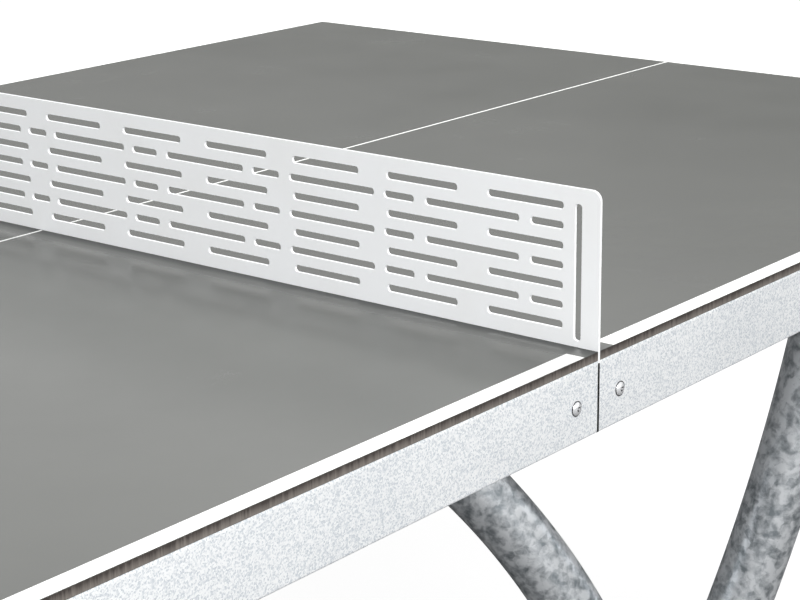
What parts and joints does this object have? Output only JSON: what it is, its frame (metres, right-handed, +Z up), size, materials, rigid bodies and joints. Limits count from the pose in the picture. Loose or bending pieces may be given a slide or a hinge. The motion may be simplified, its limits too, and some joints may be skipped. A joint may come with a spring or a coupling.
{
  "type": "ping pong table",
  "caption": "Outdoor ping pong table: grey laminate half tops on a galvanised frame, slotted steel net plate and curved tube legs on bolt-down foot plates.",
  "frame": {"origin": "on the ground, under the middle of the net", "axes": "+X along the table, +Y across it (along the net), +Z up"},
  "size_m": [2.74, 1.5322, 0.9125],
  "materials": {
    "grey_laminate": "satin grey compact laminate with a fine scratch-resistant texture and a dark brown core at its cut edge",
    "white_powder_coat": "satin white powder coat on steel plate",
    "galvanised_sheet": "bright zinc-coated sheet steel with a fine grain",
    "galvanised_tube": "hot-dip galvanised tube, mottled grey with soft pale spangle",
    "zinc_hardware": "plain bright zinc-plated fasteners",
    "black_rubber": "matte black rubber strip"
  },
  "bodies": {
    "root": {"top_panel_left": "grey_laminate", "top_panel_right": "grey_laminate", "side_rail_near_left": "galvanised_sheet", "side_rail_near_right": "galvanised_sheet", "side_rail_far_left": "galvanised_sheet", "side_rail_far_right": "galvanised_sheet", "end_rail_left": "galvanised_sheet", "end_rail_right": "galvanised_sheet", "centre_rail_left": "galvanised_sheet", "centre_rail_right": "galvanised_sheet", "cross_member_left": "galvanised_sheet", "cross_member_right": "galvanised_sheet", "inner_stiffener_left": "galvanised_sheet", "inner_stiffener_right": "galvanised_sheet", "outer_stiffener_left": "galvanised_sheet", "outer_stiffener_right": "galvanised_sheet", "corner_gussets": "galvanised_sheet", "net_plate": "white_powder_coat", "net_clamp_bolts": "zinc_hardware", "net_clamp_washers": "zinc_hardware", "net_clamp_nuts": "zinc_hardware", "joint_strip_near": "black_rubber", "joint_strip_far": "black_rubber", "splice_plate_near": "zinc_hardware", "splice_plate_far": "zinc_hardware", "security_screws": "zinc_hardware", "splice_nuts": "zinc_hardware", "hub_plate": "galvanised_tube", "hub_bolts": "zinc_hardware", "hub_nuts": "zinc_hardware", "arch_tube_near_left": "galvanised_tube", "arch_tube_near_right": "galvanised_tube", "arch_tube_far_left": "galvanised_tube", "arch_tube_far_right": "galvanised_tube", "outer_strut_near_left": "galvanised_tube", "outer_strut_near_right": "galvanised_tube", "outer_strut_far_left": "galvanised_tube", "outer_strut_far_right": "galvanised_tube", "strut_pad_near_left": "galvanised_tube", "strut_pad_near_right": "galvanised_tube", "strut_pad_far_left": "galvanised_tube", "strut_pad_far_right": "galvanised_tube", "strut_bolts": "zinc_hardware", "strut_nuts": "zinc_hardware", "foot_plate_near_left": "galvanised_tube", "foot_plate_near_right": "galvanised_tube", "foot_plate_far_left": "galvanised_tube", "foot_plate_far_right": "galvanised_tube", "panel_screws": "zinc_hardware"}
  },
  "joints": []
}
